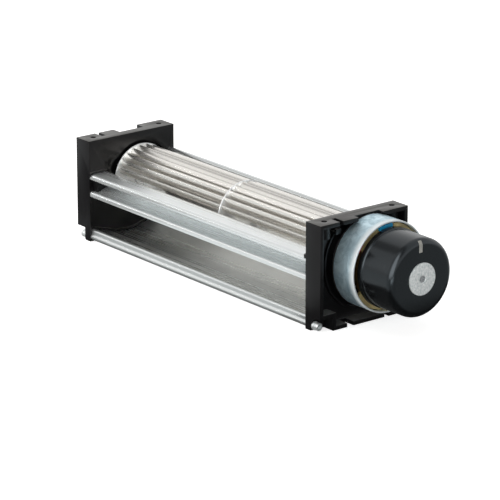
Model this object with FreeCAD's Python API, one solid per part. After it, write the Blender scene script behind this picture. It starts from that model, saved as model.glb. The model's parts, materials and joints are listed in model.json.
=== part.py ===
import FreeCAD, Part
import math
import os

# Cross flow fan: a drum impeller of thin curved blades turns between two moulded end
# plates, inside a folded sheet duct. An external rotor motor stands on the right plate.
# X runs along the impeller, Y from the outlet at the front to the rear, Z up.
# Sizes are in millimetres and angles in degrees.

# Duct and impeller
duct_length = 156.0
impeller_rim_radius = 15.3
impeller_axis_height = 27.0
blade_count = 24
blade_outer_radius = 14.9
blade_inner_radius = 10.3
blade_outer_angle = 26.0
blade_thickness = 0.4
blade_phase = -4.8
disc_thickness = 0.6
mid_disc_thickness = 0.8
mid_disc_hole_radius = 6.0
blade_slot_clearance = 0.05
disc_to_plate_gap = 0.5

# Folded sheet
sheet_thickness = 0.7
sheet_bend_radius = 0.75
front_set_back = 0.15
rear_set_back = 0.45
tongue_gap = 0.95
rear_gap = 3.1
hem_radius = 1.6
front_hem_wrap = 245.0
rear_hem_wrap = 300.0
front_hem_height = 2.2
rear_hem_height = 35.8
rail_height = 6.15
rail_set_back = 0.6
ramp_angle = 15.0
scroll_radius = 27.85

# Stabiliser channel: heights of its folds above the base
stabiliser_depth = 13.0
lip_height = 2.4
lower_flange_height = 23.85
lower_flange_depth = 2.5
nose_low_height = 26.95
nose_high_height = 29.75
upper_flange_height = 32.1
upper_flange_depth = 8.4
flange_bend_radius = 2.0
nose_bend_radius = 1.0

# End plates
plate_thickness = 9.8
plate_height = 48.0
wall_thickness = 1.8
web_thickness = 3.2
lug_thickness = 4.1
lug_corner_radius = 0.8
corner_cut_depth = 7.3
corner_cut_height = 6.0
edge_notch_depth = 5.6
top_slot_start = 10.5
top_slot_width = 2.2
top_recess_start = 21.0
top_recess_width = 13.7
motor_recess_depth = 3.0
idle_recess_depth = 5.0
base_slot_start = 15.2
base_slot_width = 3.6
base_rear_slot_start = 36.2
base_rear_slot_width = 2.4
fixing_hole_radius = 1.3
fixing_boss_height = 7.5
fixing_hole_inset = 6.0
fixing_rear_inset = 5.0
fixing_boss_wall = 1.4
recess_clearance = 1.3
recess_depth = 1.3
recess_lobe_angle = 155.0
recess_lobe_radius = 6.0
recess_lobe_reach = 1.4
ledge_width = 0.9
ledge_height = 1.2
plug_length = 3.0
plug_front = 2.4
fit_gap = 0.1
spigot_length = 6.0
collar_gap = 1.0
collar_width = 1.1
collar_height = 1.4
hook_angle = 139.0
hook_width = 3.0
hook_height = 3.4
hook_reach = 1.2
rib_thickness = 1.4
rib_height = 3.6

# Screws
hem_screw_radius = 0.88
hem_screw_head_radius = 1.85
hem_screw_head_length = 3.4
hem_screw_collar_radius = 1.9
hem_screw_collar_length = 0.9
hem_screw_length = 8.0
screw_clearance = 0.1
socket_width = 1.5
socket_depth = 1.2
flange_screw_count = 3
flange_screw_radius = 1.0
flange_screw_head_radius = 1.9
flange_screw_head_length = 1.4
flange_screw_circle = 12.4
flange_screw_bite = 1.5

# Idle bearing in the left plate
stub_radius = 1.5
stub_flange_radius = 4.5
stub_flange_thickness = 1.2
stub_end_gap = 0.4
running_clearance = 0.03
idle_bearing_length = 5.0
idle_bearing_sphere_radius = 4.2
idle_bearing_seat_clearance = 0.05
rubber_radius = 7.0
rubber_end_gap = 0.3
boss_wall = 2.0
boss_height = 5.0
bearing_lip_hole_radius = 4.8
cap_thickness = 0.8
cap_spigot_length = 0.5
cap_spigot_wall = 1.2

# Motor
shaft_radius = 1.5
neck_gap = 0.5
shoulder_thickness = 0.6
shoulder_gap = 0.2
ring_radius = 20.4
ring_wall = 0.8
ring_length = 13.0
ring_clearance = 0.6
ring_seat_clearance = 0.05
seat_width = 1.6
seat_length = 1.6
tube_radius = 5.2
tube_end_gap = 0.4
bearing_radius = 4.0
bearing_length = 4.0
bearing_shoulder = 0.8
rear_bearing_offset = 5.0
board_radius = 19.3
board_thickness = 1.6
board_set_back = 2.2
board_notch_start = 172.0
board_notch_sweep = 42.0
board_notch_depth = 2.6
board_hole_clearance = 0.4
post_count = 3
post_radius = 1.4
post_pin_radius = 0.7
post_circle = 15.4
post_phase = 30.0
cup_radius = 17.5
cup_wall = 1.0
cup_face_thickness = 1.2
cup_length = 21.1
cup_rim_depth = 0.4
cup_rim_rounding = 0.4
cup_band_step = 0.35
cup_band_length = 2.7
cup_edge_radius = 3.0
magnet_thickness = 1.8
magnet_length = 15.0
magnet_start = 1.6
magnet_clearance = 0.05
air_gap = 0.5
hub_radius = 7.15
hub_proud = 0.7
hub_neck_radius = 5.0
hub_inner_flange_radius = 6.4
hub_inner_flange_thickness = 1.0
hub_boss_radius = 2.3
hub_pit_radius = 1.8
hub_pit_depth = 0.4
shaft_set_back = 0.25
clip_radius = 2.8
clip_thickness = 0.6
clip_opening = 60.0
washer_thickness = 0.3
washer_radius = 2.6

# Stator
stack_length = 10.0
stack_start = 3.6
tooth_count = 6
tooth_width = 3.2
yoke_width = 2.6
shoe_thickness = 1.5
shoe_angle = 48.0
stator_bore_clearance = 0.02
insulator_thickness = 0.8
coil_thickness = 1.4
coil_clearance = 0.2
coil_shoe_clearance = 0.3
coil_corner_radius = 0.9

# Board parts
capacitor_width = 7.0
tan_capacitor_width = 3.4
capacitor_height = 2.6
capacitor_length = 1.5
capacitor_angle = 94.1
tan_capacitor_angle = 75.8
capacitor_corner_radius = 0.5
lead_radius = 0.45
lead_circle = 18.4
lead_angle = 145.0
lead_sweep = 12.0
chip_length = 6.0
chip_width = 4.0
chip_height = 2.0
chip_circle = 11.0
chip_count = 3
sensor_width = 3.2
sensor_height = 1.0
sensor_circle = 15.8
sensor_angle = 250.0
can_radius = 2.6
can_length = 6.5
can_circle = 13.0
can_angles = (115.0, 235.0)

# Drive bush in the impeller
bush_radius = 4.6
bush_length = 9.0
bush_flange_radius = 6.5
bush_flange_thickness = 1.0
grub_radius = 1.0
grub_position = 5.0
grub_socket_radius = 0.5
grub_socket_depth = 0.8

# Places that follow from the sizes above
duct_face = duct_length / 2
web_face = duct_face + web_thickness
outer_face = duct_face + plate_thickness
axis_y = stabiliser_depth + tongue_gap + impeller_rim_radius
axis_z = impeller_axis_height
scroll_wall_y = axis_y + impeller_rim_radius + rear_gap + sheet_thickness / 2
plate_depth = scroll_wall_y + sheet_thickness / 2 + rear_set_back
hem_line_radius = hem_radius - sheet_thickness / 2
hem_bore_radius = hem_radius - sheet_thickness
front_hem_y = front_set_back + hem_radius
rear_hem_y = scroll_wall_y - hem_line_radius
disc_face = duct_face - disc_to_plate_gap
blade_end = disc_face - disc_thickness
ring_recess_face = outer_face - motor_recess_depth
shoulder_back = ring_recess_face + shoulder_gap
ring_back = shoulder_back + shoulder_thickness
ring_front = ring_back + ring_length
board_front = ring_front - board_set_back
board_back = board_front - board_thickness
fixing_boss_radius = fixing_hole_radius + fixing_boss_wall
fixing_boss_base = plate_height - fixing_boss_height
rear_fixing_y = plate_depth - fixing_rear_inset
rear_boss_reach = math.hypot(rear_fixing_y - fixing_boss_radius - axis_y, fixing_boss_base - axis_z)
neck_radius = min(plate_depth - wall_thickness - axis_y, plate_height - wall_thickness - axis_z,
                  axis_z - wall_thickness, rear_boss_reach) - neck_gap
cup_back = ring_front - cup_rim_depth
cup_face = cup_back + cup_length
hub_face = cup_face + hub_proud
cup_inner_radius = cup_radius - cup_wall
magnet_inner_radius = cup_inner_radius - magnet_clearance - magnet_thickness
stator_radius = magnet_inner_radius - air_gap
stack_back = cup_back + stack_start
stack_front = stack_back + stack_length
hub_inner_face = cup_face - cup_face_thickness - hub_inner_flange_thickness
coil_reach = insulator_thickness + coil_clearance + coil_thickness
tube_front = stack_front + coil_reach - tube_end_gap
rear_bearing_back = web_face + rear_bearing_offset
front_bearing_back = tube_front - bearing_length

# The frame stands on the plates' base, centred under the whole fan.
left_reach = -outer_face
right_reach = hub_face
front_reach = min(0.0, front_hem_y - hem_screw_collar_radius)
rear_reach = max(plate_depth, axis_y + ring_radius)
to_frame = FreeCAD.Vector(-(left_reach + right_reach) / 2, -(front_reach + rear_reach) / 2, 0)

along_x = FreeCAD.Vector(1, 0, 0)
axis_point = FreeCAD.Vector(0, axis_y, axis_z)


# Plain solids

def block(x_from, x_to, y_from, y_to, z_from, z_to):
    corner = FreeCAD.Vector(x_from, y_from, z_from)
    return Part.makeBox(x_to - x_from, y_to - y_from, z_to - z_from, corner)


def x_cylinder(radius, x_from, x_to, y=axis_y, z=axis_z):
    return Part.makeCylinder(radius, x_to - x_from, FreeCAD.Vector(x_from, y, z), along_x)


def x_tube(outer_radius, inner_radius, x_from, x_to):
    return x_cylinder(outer_radius, x_from, x_to).cut(x_cylinder(inner_radius, x_from, x_to))


def polar(radius, angle):
    turn = math.radians(angle)
    return axis_y + radius * math.cos(turn), axis_z + radius * math.sin(turn)


def about_axis(shape, angle):
    turned_shape = shape.copy()
    turned_shape.rotate(axis_point, along_x, angle)
    return turned_shape


def ring_of(shape, count, first_angle=0.0):
    return [about_axis(shape, first_angle + 360.0 * index / count) for index in range(count)]


def mirrored(shape):
    return shape.mirror(FreeCAD.Vector(0, 0, 0), along_x)


# Paths of straight runs and tangent arcs in a plane, for sheet folds and turned profiles

def bend(before, corner, after, radius):
    """The arc that rounds a corner: centre, radius, start angle and signed sweep in radians."""
    in_length = math.dist(before, corner)
    out_length = math.dist(corner, after)
    in_dir = ((corner[0] - before[0]) / in_length, (corner[1] - before[1]) / in_length)
    out_dir = ((after[0] - corner[0]) / out_length, (after[1] - corner[1]) / out_length)
    cross = in_dir[0] * out_dir[1] - in_dir[1] * out_dir[0]
    sweep = math.atan2(cross, in_dir[0] * out_dir[0] + in_dir[1] * out_dir[1])
    side = math.copysign(1.0, sweep)
    trim = radius * math.tan(abs(sweep) / 2)
    start = (corner[0] - in_dir[0] * trim, corner[1] - in_dir[1] * trim)
    centre = (start[0] - in_dir[1] * side * radius, start[1] + in_dir[0] * side * radius)
    start_angle = math.atan2(start[1] - centre[1], start[0] - centre[0])
    return ("arc", centre, radius, start_angle, sweep)


def start_of(piece):
    if piece[0] == "line":
        return piece[1]
    centre, radius, angle = piece[1], piece[2], piece[3]
    return (centre[0] + radius * math.cos(angle), centre[1] + radius * math.sin(angle))


def end_of(piece):
    if piece[0] == "line":
        return piece[2]
    centre, radius, angle = piece[1], piece[2], piece[3] + piece[4]
    return (centre[0] + radius * math.cos(angle), centre[1] + radius * math.sin(angle))


def rounded_path(corners, radii):
    """An open path through the corners. radii holds one bend radius for each inner corner."""
    path = []
    here = corners[0]
    for index, radius in enumerate(radii, start=1):
        arc = bend(corners[index - 1], corners[index], corners[index + 1], radius)
        path.append(("line", here, start_of(arc)))
        path.append(arc)
        here = end_of(arc)
    path.append(("line", here, corners[-1]))
    return path


def shifted(path, to_left):
    """The same path moved sideways, to the left of its direction of travel."""
    moved = []
    for piece in path:
        if piece[0] == "line":
            start, end = piece[1], piece[2]
            length = math.dist(start, end)
            side = (-(end[1] - start[1]) / length * to_left, (end[0] - start[0]) / length * to_left)
            moved.append(("line", (start[0] + side[0], start[1] + side[1]),
                          (end[0] + side[0], end[1] + side[1])))
        else:
            radius = piece[2] - math.copysign(to_left, piece[4] * to_left)
            moved.append(("arc", piece[1], radius, piece[3], piece[4]))
    return moved


def section_point(x):
    """Places a (y, z) pair of a cross section at one X."""
    return lambda pair: FreeCAD.Vector(x, pair[0], pair[1])


def turning_point(pair):
    """Places an (x, radius) pair of a turned profile above the axis."""
    return FreeCAD.Vector(pair[0], axis_y, axis_z + pair[1])


def path_edges(path, place):
    edges = []
    for piece in path:
        start, end = place(start_of(piece)), place(end_of(piece))
        if piece[0] == "line":
            edges.append(Part.makeLine(start, end))
        else:
            half = ("arc", piece[1], piece[2], piece[3], piece[4] / 2)
            edges.append(Part.Arc(start, place(end_of(half)), end).toShape())
    return edges


def closed_face(path, place):
    edges = path_edges(path, place)
    first, last = place(start_of(path[0])), place(end_of(path[-1]))
    if first.distanceToPoint(last) > 1e-6:
        edges.append(Part.makeLine(last, first))
    return Part.Face(Part.Wire(Part.__sortEdges__(edges)))


def prism(path, x_from, x_to):
    return closed_face(path, section_point(x_from)).extrude(FreeCAD.Vector(x_to - x_from, 0, 0))


def polygon_prism(corners, x_from, x_to):
    sides = [("line", corners[index - 1], corners[index]) for index in range(len(corners))]
    return prism(sides, x_from, x_to)


def strip(path, thickness, x_from, x_to):
    """A sheet of even thickness that follows the path, drawn out along X."""
    place = section_point(x_from)
    left, right = shifted(path, thickness / 2), shifted(path, -thickness / 2)
    edges = path_edges(left, place) + path_edges(right, place)
    edges.append(Part.makeLine(place(start_of(left[0])), place(start_of(right[0]))))
    edges.append(Part.makeLine(place(end_of(left[-1])), place(end_of(right[-1]))))
    face = Part.Face(Part.Wire(Part.__sortEdges__(edges)))
    return face.extrude(FreeCAD.Vector(x_to - x_from, 0, 0))


def turned(corners, rounding=None):
    """A solid of revolution about the impeller axis from (x, radius) corners.

    rounding maps a corner's index to its fillet radius.
    """
    rounding = rounding or {}
    count = len(corners)
    path = []
    for index in range(count):
        corner = corners[index]
        if index in rounding:
            path.append(bend(corners[index - 1], corner, corners[(index + 1) % count], rounding[index]))
        else:
            path.append(("line", corner, corner))
    outline = []
    for index in range(count):
        if path[index][0] == "arc":
            outline.append(path[index])
        outline.append(("line", end_of(path[index]), start_of(path[(index + 1) % count])))
    face = Part.Face(Part.Wire(Part.__sortEdges__(path_edges(outline, turning_point))))
    return face.revolve(axis_point, along_x, 360)


# Folded sheets

def scroll_path():
    """Centre line of the duct sheet: front hem, rail, ramp, scroll, rear wall, rear hem."""
    front_wrap = math.radians(front_hem_wrap)
    rear_wrap = math.radians(rear_hem_wrap)
    rail_y = front_set_back + sheet_thickness / 2 + rail_set_back
    rail_top = (rail_y, rail_height - sheet_thickness / 2)
    # The rail stands back from the hem, which an opposite bend joins to it.
    joggle_reach = hem_line_radius + sheet_bend_radius
    joggle_turn = math.acos(1 - rail_set_back / joggle_reach)
    joggle_height = front_hem_height + joggle_reach * math.sin(joggle_turn)
    ramp_run = scroll_wall_y - rail_y
    ramp_foot = (scroll_wall_y, rail_top[1] - ramp_run * math.tan(math.radians(ramp_angle)))
    front_hem = ("arc", (front_hem_y, front_hem_height), hem_line_radius,
                 math.pi + front_wrap, -front_wrap - joggle_turn)
    joggle = ("arc", (rail_y - sheet_bend_radius, joggle_height), sheet_bend_radius,
              -joggle_turn, joggle_turn)
    rear_hem = ("arc", (rear_hem_y, rear_hem_height), hem_line_radius, 0.0, rear_wrap)
    corners = [(rail_y, joggle_height), rail_top, ramp_foot, (scroll_wall_y, rear_hem_height)]
    duct = rounded_path(corners, [sheet_bend_radius, scroll_radius])
    return [front_hem, joggle] + duct + [rear_hem]


def stabiliser_corners():
    """Fold points of the channel's centre line, from the lower flange round to the upper one."""
    front_y = front_set_back + sheet_thickness / 2
    nose_y = stabiliser_depth - sheet_thickness / 2
    return [(front_y, lower_flange_height),
            (front_y + lower_flange_depth, lower_flange_height),
            (nose_y, nose_low_height),
            (nose_y, nose_high_height),
            (front_y + upper_flange_depth, upper_flange_height),
            (front_y, upper_flange_height)]


def stabiliser_path():
    corners = stabiliser_corners()
    front_y = corners[0][0]
    lower_lip_end = (front_y, lower_flange_height + sheet_thickness / 2 - lip_height)
    upper_lip_end = (front_y, upper_flange_height + sheet_thickness / 2 - lip_height)
    radii = [sheet_bend_radius, flange_bend_radius, nose_bend_radius, nose_bend_radius,
             flange_bend_radius, sheet_bend_radius]
    return rounded_path([lower_lip_end] + corners + [upper_lip_end], radii)


def stabiliser_throat():
    """The part of the channel's centre line behind its lips, which the plates' plugs fill."""
    corners = stabiliser_corners()
    corners[0] = (plug_front, lower_flange_height)
    corners[-1] = (plug_front, upper_flange_height)
    return rounded_path(corners, [flange_bend_radius, nose_bend_radius, nose_bend_radius,
                                  flange_bend_radius])


def scroll_sheet():
    return strip(scroll_path(), sheet_thickness, -duct_face, duct_face)


def stabiliser_sheet():
    return strip(stabiliser_path(), sheet_thickness, -duct_face, duct_face)


# End plates, drawn for the right hand side

def plate_outline(inset):
    """The plate's side view with its front lower corner cut away, drawn in by a wall."""
    return [(inset, corner_cut_height + inset),
            (corner_cut_depth + inset, corner_cut_height + inset),
            (corner_cut_depth + inset, inset),
            (plate_depth - inset, inset),
            (plate_depth - inset, plate_height - inset),
            (inset, plate_height - inset)]


def fixing_places():
    middle = duct_face + plate_thickness / 2
    return [(middle, fixing_hole_inset), (middle, rear_fixing_y)]


def fixing_holes():
    depth = fixing_boss_height + 2
    return [Part.makeCylinder(fixing_hole_radius, depth, FreeCAD.Vector(x, y, fixing_boss_base - 1))
            for x, y in fixing_places()]


def fixing_boss(x, y):
    radius, base = fixing_boss_radius, fixing_boss_base
    round_part = Part.makeCylinder(radius, fixing_boss_height, FreeCAD.Vector(x, y, base))
    return round_part.fuse(block(web_face, x, y - radius, y + radius, base, plate_height))


def plate_lug():
    lug = block(duct_face, duct_face + lug_thickness, 0, corner_cut_depth + wall_thickness,
                0, corner_cut_height + wall_thickness)
    outer = duct_face + lug_thickness
    low_edges = [edge for edge in lug.Edges
                 if abs(edge.CenterOfMass.x - outer) < 1e-6 and abs(edge.CenterOfMass.z) < 1e-6]
    return lug.makeFillet(lug_corner_radius, low_edges)


def edge_notches(recess_depth_at_top):
    """Cuts in the outer edges of the top and the base."""
    past = outer_face + 1
    notch_face = outer_face - edge_notch_depth
    top = plate_height - wall_thickness
    return [
        block(notch_face, past, top_slot_start, top_slot_start + top_slot_width,
              top, plate_height + 1),
        block(outer_face - recess_depth_at_top, past, top_recess_start,
              top_recess_start + top_recess_width, top, plate_height + 1),
        block(notch_face, past, base_slot_start, base_slot_start + base_slot_width,
              -1, wall_thickness),
        block(notch_face, past, base_rear_slot_start, base_rear_slot_start + base_rear_slot_width,
              -1, wall_thickness)]


def impeller_recess():
    """Shallow round recess for the end disc, with a lobe above the stabiliser."""
    radius = impeller_rim_radius + recess_clearance
    lobe_y, lobe_z = polar(radius + recess_lobe_reach - recess_lobe_radius, recess_lobe_angle)
    front = duct_face - 1
    recess = x_cylinder(radius, front, duct_face + recess_depth)
    return recess.fuse(x_cylinder(recess_lobe_radius, front, duct_face + recess_depth, lobe_y, lobe_z))


def sheet_ledges():
    """Low ribs that hold the sheets: one above the channel and one on each side of the duct."""
    x_from = duct_face - ledge_height
    offset = sheet_thickness / 2 + fit_gap + ledge_width / 2
    channel = stabiliser_path()[8:12]
    duct = scroll_path()[4:6]
    behind_hem = front_hem_y + hem_radius + fit_gap
    ledges = []
    for line, side, front in ((channel, -offset, 0), (duct, -offset, behind_hem), (duct, offset, 0)):
        ledge = strip(shifted(line, side), ledge_width, x_from, duct_face)
        ledges.append(ledge.common(block(x_from, duct_face, front, plate_depth, 0, plate_height)))
    clear = x_cylinder(impeller_rim_radius + recess_clearance, x_from, duct_face)
    return [ledge.cut(clear) for ledge in ledges]


def stabiliser_plug():
    inside = shifted(stabiliser_throat(), sheet_thickness / 2 + fit_gap)
    return prism(inside, duct_face - plug_length, duct_face)


def hem_spigot():
    radius = hem_bore_radius - fit_gap
    return x_cylinder(radius, duct_face - spigot_length, duct_face, rear_hem_y, rear_hem_height)


def common_plate(recess_depth_at_top):
    """What both plates share: the open box, its web, bosses, ledges, recess and holes."""
    plate = polygon_prism(plate_outline(0), duct_face, outer_face)
    plate = plate.cut(polygon_prism(plate_outline(wall_thickness), web_face, outer_face + 1))
    additions = [plate_lug(), stabiliser_plug(), hem_spigot()] + sheet_ledges()
    additions += [fixing_boss(x, y) for x, y in fixing_places()]
    plate = plate.fuse(additions)
    cuts = [impeller_recess()] + edge_notches(recess_depth_at_top)
    cuts.append(x_cylinder(hem_screw_radius + screw_clearance, duct_face - 1,
                           duct_face + lug_thickness + 1, front_hem_y, front_hem_height))
    return plate.cut(cuts + fixing_holes())


def motor_collar():
    """Low rib round the motor flange, left out where it meets the walls and the fixing holes."""
    inner = ring_radius + collar_gap
    room = polygon_prism(plate_outline(wall_thickness / 2), web_face, web_face + collar_height)
    collar = x_tube(inner + collar_width, inner, web_face, web_face + collar_height)
    return collar.common(room).cut(fixing_holes())


def lead_hook():
    """Small moulded hook beside the collar that holds the motor leads inside the box."""
    y, z = polar(ring_radius + collar_gap + collar_width / 2, hook_angle)
    half = hook_width / 2
    stem = block(web_face, web_face + hook_height, y - half, y + half,
                 z, z + collar_width)
    tip = block(web_face + hook_height - collar_width, web_face + hook_height, y - half, y + half,
                z, z + collar_width + hook_reach)
    return stem.fuse(tip)


def right_end_plate():
    plate = common_plate(motor_recess_depth).fuse([motor_collar(), lead_hook()])
    cuts = [x_cylinder(ring_radius + ring_clearance, ring_recess_face, outer_face + 1),
            x_cylinder(bearing_radius, duct_face, web_face)]
    bite = x_cylinder(flange_screw_radius, web_face - flange_screw_bite, web_face,
                      *polar(flange_screw_circle, 0))
    return plate.cut(cuts + ring_of(bite, flange_screw_count))


def left_ribs():
    """Stiffening ribs that run from the bearing boss to the walls of the left box."""
    inner = rubber_radius + boss_wall / 2
    half = rib_thickness / 2
    reach = wall_thickness / 2
    x_to = web_face + rib_height
    return [block(web_face, x_to, axis_y - half, axis_y + half, axis_z + inner, plate_height - reach),
            block(web_face, x_to, axis_y - half, axis_y + half, reach, axis_z - inner),
            block(web_face, x_to, reach, axis_y - inner, axis_z - half, axis_z + half),
            block(web_face, x_to, axis_y + inner, plate_depth - reach, axis_z - half, axis_z + half)]


def left_end_plate():
    boss = x_cylinder(rubber_radius + boss_wall, web_face, web_face + boss_height)
    plate = common_plate(idle_recess_depth).fuse([boss] + left_ribs())
    seat_floor = duct_face + recess_depth + web_thickness / 4
    cuts = [x_cylinder(rubber_radius, seat_floor, web_face + boss_height),
            x_cylinder(bearing_lip_hole_radius, duct_face, seat_floor)]
    return mirrored(plate.cut(cuts))


# Screws

def hem_screw():
    """Cheese head screw with a collar, driven through the lug into the rolled hem."""
    y, z = front_hem_y, front_hem_height
    seat = duct_face + lug_thickness
    collar_end = seat + hem_screw_collar_length
    head_end = seat + hem_screw_head_length
    shank = x_cylinder(hem_screw_radius, seat - hem_screw_length, seat, y, z)
    collar = x_cylinder(hem_screw_collar_radius, seat, collar_end, y, z)
    head = x_cylinder(hem_screw_head_radius - screw_clearance, collar_end, head_end, y, z)
    rim = [edge for edge in head.Edges
           if abs(edge.CenterOfMass.x - head_end) < 1e-6 and len(edge.Vertexes) == 1]
    head = head.makeChamfer(screw_clearance * 3, rim)
    socket = Part.makePolygon([
        FreeCAD.Vector(head_end - socket_depth,
                       y + socket_width / math.sqrt(3) * math.cos(math.radians(60 * side)),
                       z + socket_width / math.sqrt(3) * math.sin(math.radians(60 * side)))
        for side in range(7)])
    hexagon = Part.Face(socket).extrude(FreeCAD.Vector(socket_depth, 0, 0))
    return shank.fuse([collar, head]).cut(hexagon)


def hem_screws():
    screw = hem_screw()
    return [screw, mirrored(screw)]


def flange_screws():
    y, z = polar(flange_screw_circle, 0)
    head_end = ring_back + flange_screw_head_length
    shank = x_cylinder(flange_screw_radius, web_face - flange_screw_bite, ring_back, y, z)
    head = x_cylinder(flange_screw_head_radius, ring_back, head_end, y, z)
    slot = block(head_end - flange_screw_head_length / 2, head_end,
                 y - flange_screw_head_radius, y + flange_screw_head_radius,
                 z - wall_thickness / 6, z + wall_thickness / 6)
    return ring_of(shank.fuse(head).cut(slot), flange_screw_count)


# Idle bearing, drawn for the right hand side and mirrored to the left plate

def seat_span():
    """The rubber's seat in the left plate, from its floor to the boss's mouth."""
    return duct_face + recess_depth + web_thickness / 4, web_face + boss_height


def idle_centre_x():
    floor, mouth = seat_span()
    return (floor + mouth - cap_spigot_length) / 2


def bearing_rubber():
    floor, mouth = seat_span()
    ring = x_cylinder(rubber_radius - fit_gap, floor, mouth - cap_spigot_length - rubber_end_gap)
    centre = FreeCAD.Vector(idle_centre_x(), axis_y, axis_z)
    hollow = Part.makeSphere(idle_bearing_sphere_radius + idle_bearing_seat_clearance, centre)
    passage = x_cylinder(idle_bearing_sphere_radius * 0.8, floor, mouth)
    return mirrored(ring.cut([hollow, passage]))


def idle_bearing():
    middle = idle_centre_x()
    ball = Part.makeSphere(idle_bearing_sphere_radius, FreeCAD.Vector(middle, axis_y, axis_z))
    half = idle_bearing_length / 2
    body = ball.common(x_cylinder(idle_bearing_sphere_radius, middle - half, middle + half))
    bore = x_cylinder(stub_radius + running_clearance, middle - half, middle + half)
    return mirrored(body.cut(bore))


def bearing_cap():
    mouth = seat_span()[1]
    outer = rubber_radius + boss_wall
    spigot = rubber_radius - fit_gap
    cap = turned([(mouth - cap_spigot_length, spigot - cap_spigot_wall),
                  (mouth - cap_spigot_length, spigot), (mouth, spigot), (mouth, outer),
                  (mouth + cap_thickness, outer), (mouth + cap_thickness, 0), (mouth, 0),
                  (mouth, spigot - cap_spigot_wall)],
                 {4: cap_thickness / 2})
    return mirrored(cap)


# Impeller

def blade_arc():
    """Centre line of one blade: radial at its inner edge and swept forward at its outer one."""
    lean = math.cos(math.radians(blade_outer_angle))
    radius = (blade_outer_radius ** 2 - blade_inner_radius ** 2) / (2 * blade_outer_radius * lean)
    reach = math.hypot(blade_inner_radius, radius)

    def angle_at(distance):
        return math.acos((distance ** 2 - reach ** 2 - radius ** 2) / (2 * reach * radius))

    inner, outer = angle_at(blade_inner_radius), angle_at(blade_outer_radius)
    return (axis_y + reach, axis_z), radius, inner, outer - inner


def blade_strip(thickness, overrun, x_from, x_to):
    centre, radius, start, sweep = blade_arc()
    extra = math.copysign(overrun / radius, sweep)
    arc = ("arc", centre, radius, start - extra, sweep + 2 * extra)
    return strip([arc], thickness, x_from, x_to)


def impeller_blades():
    return ring_of(blade_strip(blade_thickness, 0.0, -blade_end, blade_end), blade_count, blade_phase)


def mid_disc():
    half = mid_disc_thickness / 2
    slot = blade_strip(blade_thickness + 2 * blade_slot_clearance, blade_slot_clearance,
                       -mid_disc_thickness, mid_disc_thickness)
    disc = x_tube(impeller_rim_radius, mid_disc_hole_radius, -half, half)
    return disc.cut(ring_of(slot, blade_count, blade_phase))


def drive_disc():
    return x_tube(impeller_rim_radius, shaft_radius + fit_gap, blade_end, disc_face)


def idle_disc():
    return mirrored(x_tube(impeller_rim_radius, stub_radius, blade_end, disc_face))


def grub_hole_x():
    return blade_end - grub_position


def drive_bush():
    """Bush riveted to the drive disc, with a tapped cross hole for its grub screw."""
    inner_end = blade_end - bush_length
    bush = turned([(inner_end, shaft_radius), (inner_end, bush_radius),
                   (blade_end - bush_flange_thickness, bush_radius),
                   (blade_end - bush_flange_thickness, bush_flange_radius),
                   (blade_end, bush_flange_radius), (blade_end, shaft_radius)])
    hole = Part.makeCylinder(grub_radius, bush_radius, FreeCAD.Vector(grub_hole_x(), axis_y, axis_z))
    return bush.cut(hole)


def grub_screw():
    height = bush_radius - shaft_radius
    base = FreeCAD.Vector(grub_hole_x(), axis_y, axis_z + shaft_radius)
    screw = Part.makeCylinder(grub_radius, height - fit_gap, base)
    top = axis_z + bush_radius - fit_gap - grub_socket_depth
    socket = Part.makeCylinder(grub_socket_radius, grub_socket_depth,
                               FreeCAD.Vector(grub_hole_x(), axis_y, top))
    return screw.cut(socket)


def stub_axle():
    """Stub riveted into the idle disc, from its inner flange to just short of the cap."""
    end = seat_span()[1] - cap_spigot_length - stub_end_gap
    inner = blade_end - stub_flange_thickness
    return mirrored(turned([(inner, 0), (inner, stub_flange_radius), (blade_end, stub_flange_radius),
                            (blade_end, stub_radius), (end, stub_radius), (end, 0)]))


# Motor, fixed parts

def motor_flange():
    """Cast flange with the ring's seat on its rim and the bearing tube at its centre."""
    seat_radius = ring_radius - ring_wall - ring_seat_clearance
    rim_inner = seat_radius - seat_width
    shoulder = bearing_radius - bearing_shoulder
    flange = turned([
        (web_face, bearing_radius), (web_face, neck_radius), (shoulder_back, neck_radius),
        (shoulder_back, ring_radius), (ring_back, ring_radius), (ring_back, seat_radius),
        (ring_back + seat_length, seat_radius), (ring_back + seat_length, rim_inner),
        (ring_back, rim_inner), (ring_back, tube_radius), (tube_front, tube_radius),
        (tube_front, bearing_radius),
        (front_bearing_back, bearing_radius), (front_bearing_back, shoulder),
        (rear_bearing_back + bearing_length, shoulder),
        (rear_bearing_back + bearing_length, bearing_radius)])
    y, z = polar(post_circle, 0)
    post = x_cylinder(post_radius, ring_back, board_back, y, z)
    pin = x_cylinder(post_pin_radius, board_back, board_front, y, z)
    posts = ring_of(post.fuse(pin), post_count, post_phase)
    hole_y, hole_z = polar(flange_screw_circle, 0)
    hole = x_cylinder(flange_screw_radius, web_face, ring_back, hole_y, hole_z)
    return flange.fuse(posts).cut(ring_of(hole, flange_screw_count))


def motor_ring():
    return x_tube(ring_radius, ring_radius - ring_wall, ring_back, ring_front)


def motor_bearings():
    return [x_tube(bearing_radius, shaft_radius + running_clearance, start, start + bearing_length)
            for start in (rear_bearing_back, front_bearing_back)]


def circuit_board():
    """Ring shaped board with a notch in its edge, through which the leads leave."""
    board = x_tube(board_radius, tube_radius + board_hole_clearance, board_back, board_front)
    hole = x_cylinder(post_pin_radius, board_back, board_front, *polar(post_circle, 0))
    start, sweep = math.radians(board_notch_start), math.radians(board_notch_sweep)
    notch = strip([("arc", (axis_y, axis_z), board_radius, start, sweep)], 2 * board_notch_depth,
                  board_back, board_front)
    return board.cut(ring_of(hole, post_count, post_phase) + [notch])


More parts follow.
